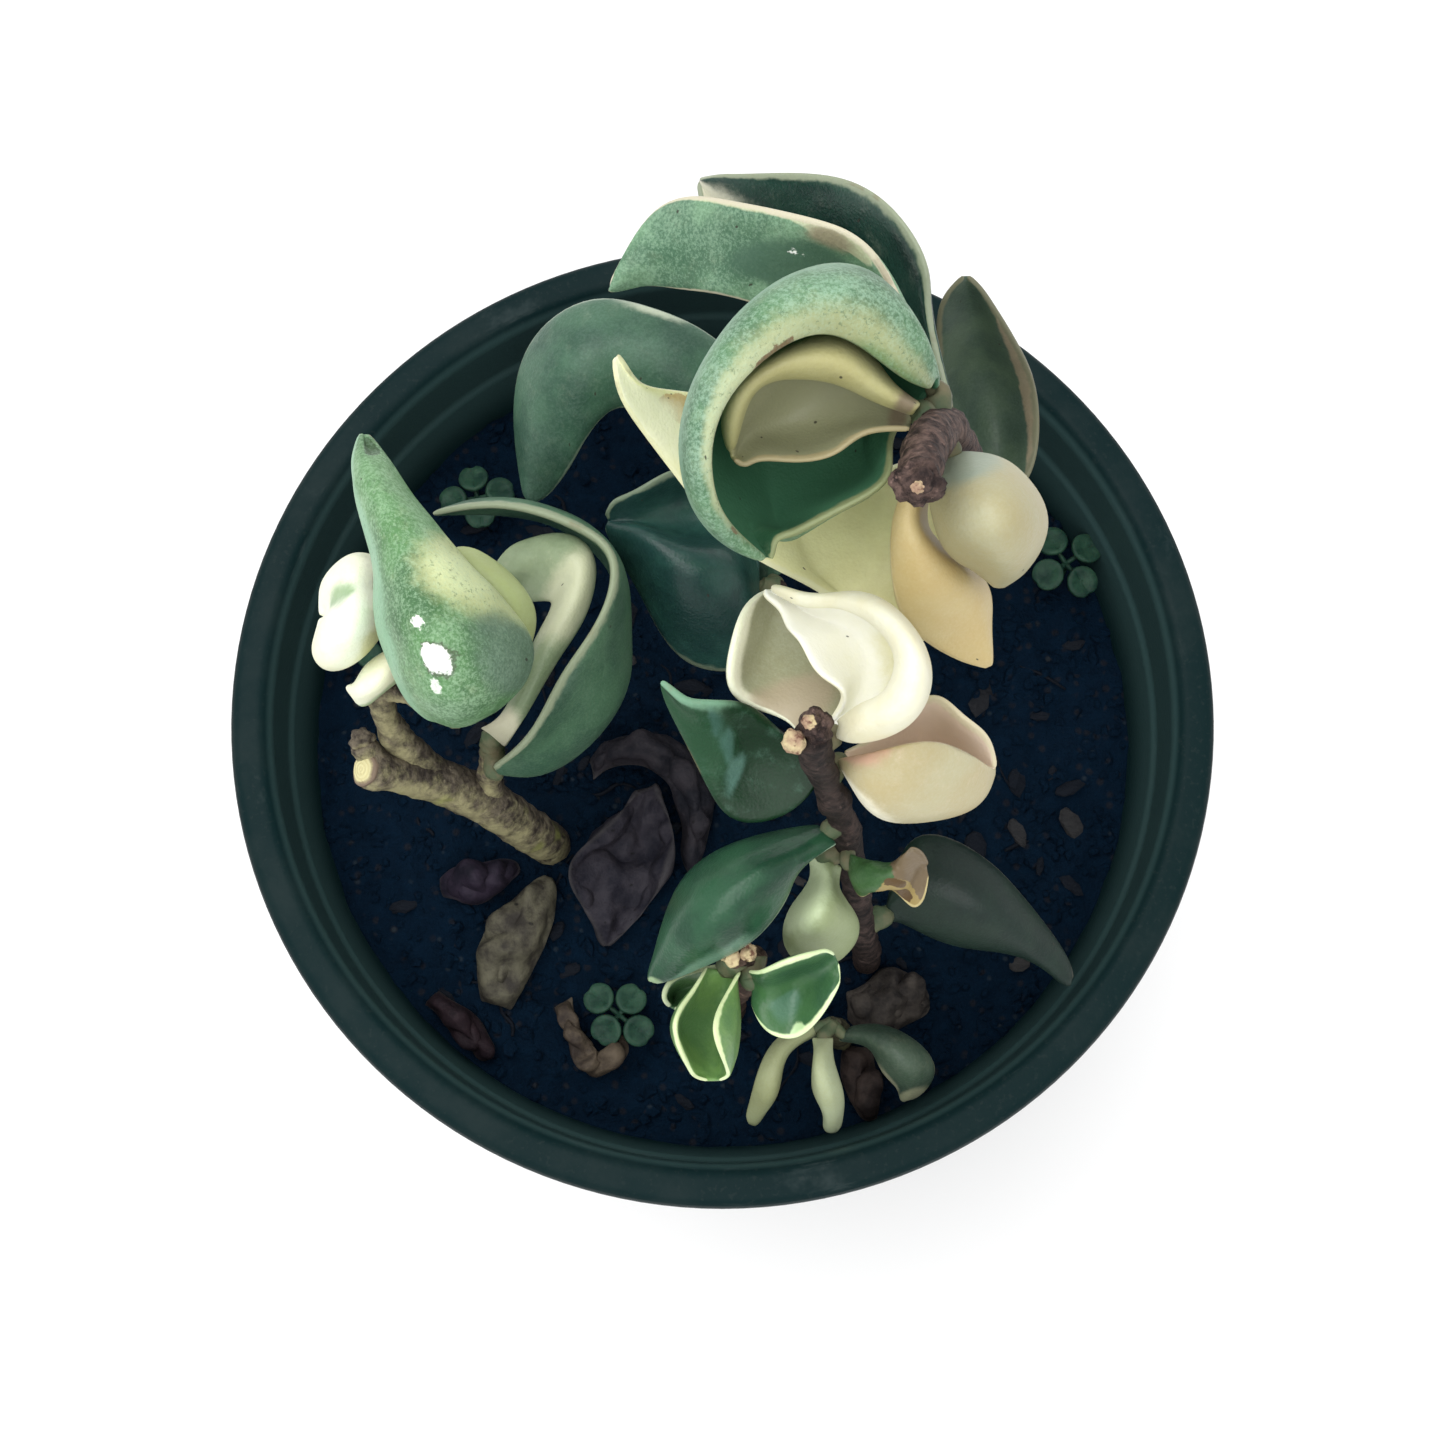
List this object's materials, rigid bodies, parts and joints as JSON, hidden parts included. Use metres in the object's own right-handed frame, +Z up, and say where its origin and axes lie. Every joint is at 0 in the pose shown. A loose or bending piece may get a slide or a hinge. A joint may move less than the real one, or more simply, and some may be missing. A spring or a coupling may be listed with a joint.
{
  "type": "hindu rope plant",
  "caption": "Potted hindu rope plant: thick folded green and cream leaves curl in clusters on short woody stems over the dark soil of a round plastic nursery pot with a broad rim.",
  "frame": {"origin": "Middle of the pot's underside, on the surface the pot stands on", "axes": "+Z up along the pot's axis; -Y towards the viewer of the picture; +X to the picture's right"},
  "size_m": [0.13, 0.13, 0.1969],
  "materials": {
    "pot_plastic": "satin moulded plastic",
    "soil_dark": "loose dark mix of bark and peat",
    "stem_bark": "rough grey brown bark",
    "leaf_frosted": "waxy green speckled with white",
    "leaf_cream": "waxy cream",
    "leaf_dark": "glossy dark green",
    "leaf_dried": "dry and matt",
    "seedling_green": "thin green leaflets"
  },
  "bodies": {
    "root": {"pot": "pot_plastic", "soil": "soil_dark", "right_stem": "stem_bark", "middle_stem": "stem_bark", "front_stem": "stem_bark", "left_stem": "stem_bark", "back_stem": "stem_bark", "low_stem": "stem_bark", "seedling_right": "seedling_green", "seedling_back": "seedling_green", "seedling_left": "seedling_green", "seedling_front": "seedling_green", "hood_leaf": "leaf_frosted", "inner_leaf": "leaf_cream", "ball_leaf": "leaf_cream", "pointed_leaf": "leaf_cream", "long_cream_leaf": "leaf_cream", "mottled_leaf": "leaf_frosted", "dark_leaf": "leaf_dark", "olive_leaf": "leaf_dark", "scroll_leaf": "leaf_cream", "grey_leaf": "leaf_cream", "folded_leaf": "leaf_cream", "glossy_leaf": "leaf_dark", "torn_leaf": "leaf_dark", "low_dark_leaf": "leaf_dark", "green_leaf": "leaf_dark", "pale_leaf": "leaf_cream", "spoon_leaf": "leaf_dark", "lobe_leaf": "leaf_dark", "small_leaf": "leaf_dark", "frosted_leaf": "leaf_frosted", "lobe_cream_leaf": "leaf_cream", "cushion_leaf": "leaf_cream", "lip_leaf": "leaf_cream", "bowl_leaf": "leaf_frosted", "loop_leaf": "leaf_cream", "twin_leaf": "leaf_frosted", "shade_leaf": "leaf_dark", "low_leaf_1": "leaf_cream", "low_leaf_2": "leaf_cream", "low_leaf_3": "leaf_cream", "dried_ring_leaf": "leaf_dried", "dried_coil_leaf": "leaf_dried", "tan_leaf": "leaf_dried", "purple_leaf": "leaf_dried", "bent_leaf": "leaf_dried", "rust_leaf": "leaf_dried", "grey_dried_leaf": "leaf_dried", "brown_leaf": "leaf_dried"}
  },
  "joints": []
}
